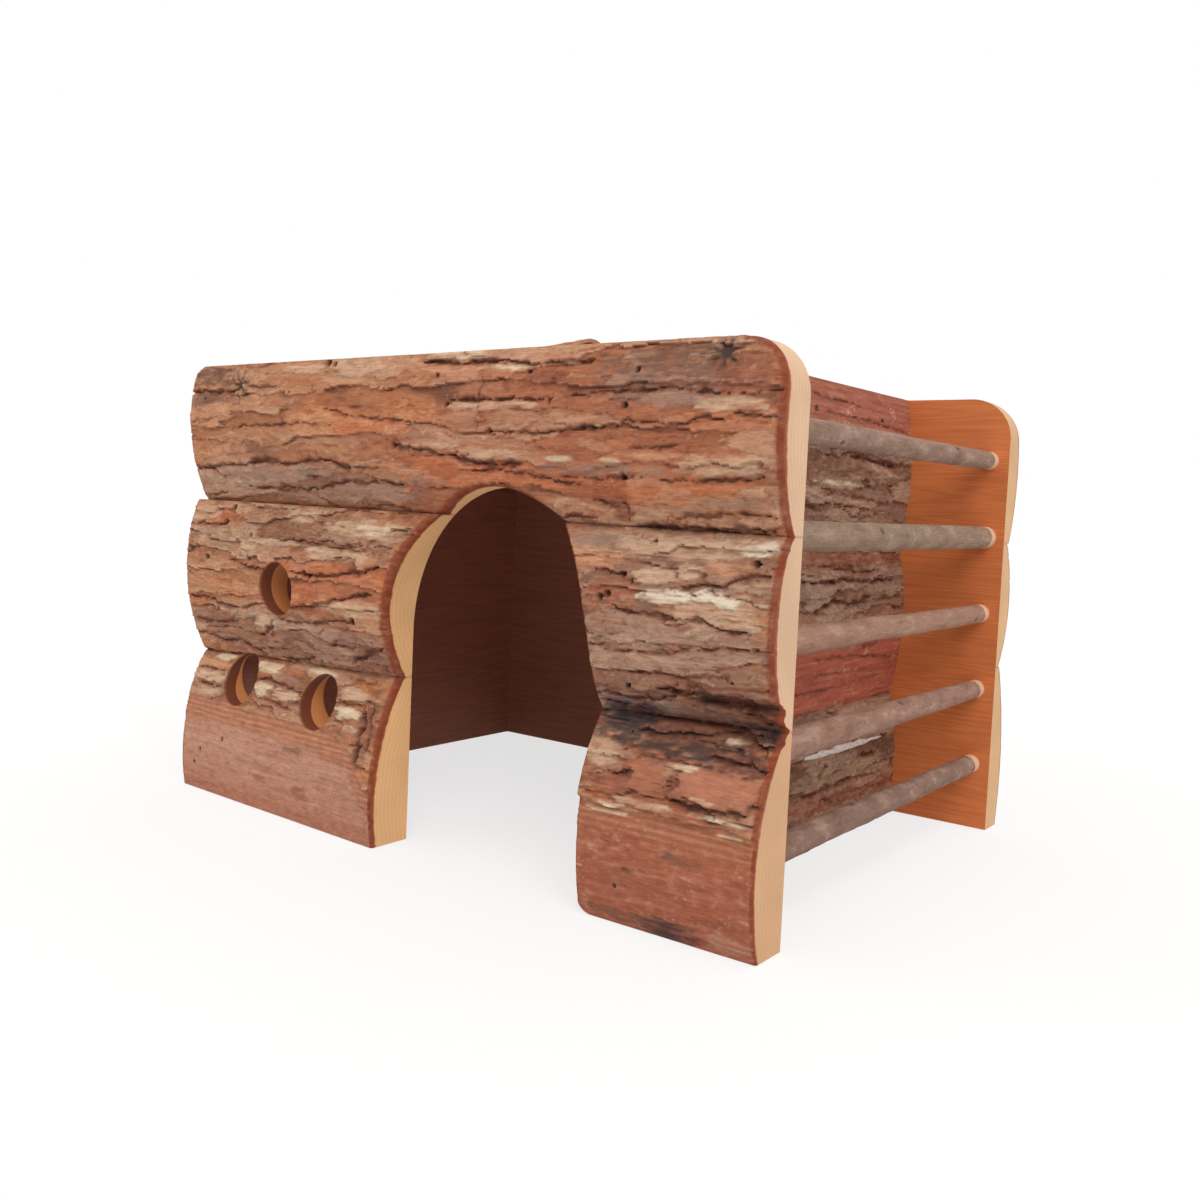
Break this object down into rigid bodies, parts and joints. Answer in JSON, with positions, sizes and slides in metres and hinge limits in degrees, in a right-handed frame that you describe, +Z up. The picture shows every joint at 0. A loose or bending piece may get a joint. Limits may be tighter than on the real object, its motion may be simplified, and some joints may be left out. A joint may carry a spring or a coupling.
{
  "type": "hamster house",
  "caption": "Free-standing small-animal house of half-log slabs, bark outside, with an arched doorway, round peep holes and a stick hay rack along one side.",
  "frame": {"origin": "on the floor, midway along the front and back panels and midway between their flat faces", "axes": "+X to the right along the front, towards the hay rack; +Y from the front panel to the back panel; +Z up"},
  "size_m": [0.254, 0.2002, 0.1617],
  "materials": {
    "bark_slab": "natural bark outside, sawn and sanded faces inside and at the cut edges",
    "rack_stick": "thin grey-brown bark, bare turned ends",
    "nail_steel": "dull wire"
  },
  "bodies": {
    "root": {"front_top_slab": "bark_slab", "front_left_middle_slab": "bark_slab", "front_right_middle_slab": "bark_slab", "front_left_bottom_slab": "bark_slab", "front_right_bottom_slab": "bark_slab", "back_bottom_slab": "bark_slab", "back_middle_slab": "bark_slab", "back_top_slab": "bark_slab", "rack_wall_bottom_slab": "bark_slab", "rack_wall_middle_slab": "bark_slab", "rack_wall_top_slab": "bark_slab", "plain_wall_bottom_slab": "bark_slab", "plain_wall_middle_slab": "bark_slab", "plain_wall_top_slab": "bark_slab", "roof_slab_1": "bark_slab", "roof_slab_2": "bark_slab", "roof_slab_3": "bark_slab", "rack_stick_1": "rack_stick", "rack_stick_2": "rack_stick", "rack_stick_3": "rack_stick", "rack_stick_4": "rack_stick", "rack_stick_5": "rack_stick", "front_nails": "nail_steel", "back_nails": "nail_steel", "roof_nails": "nail_steel"}
  },
  "joints": []
}
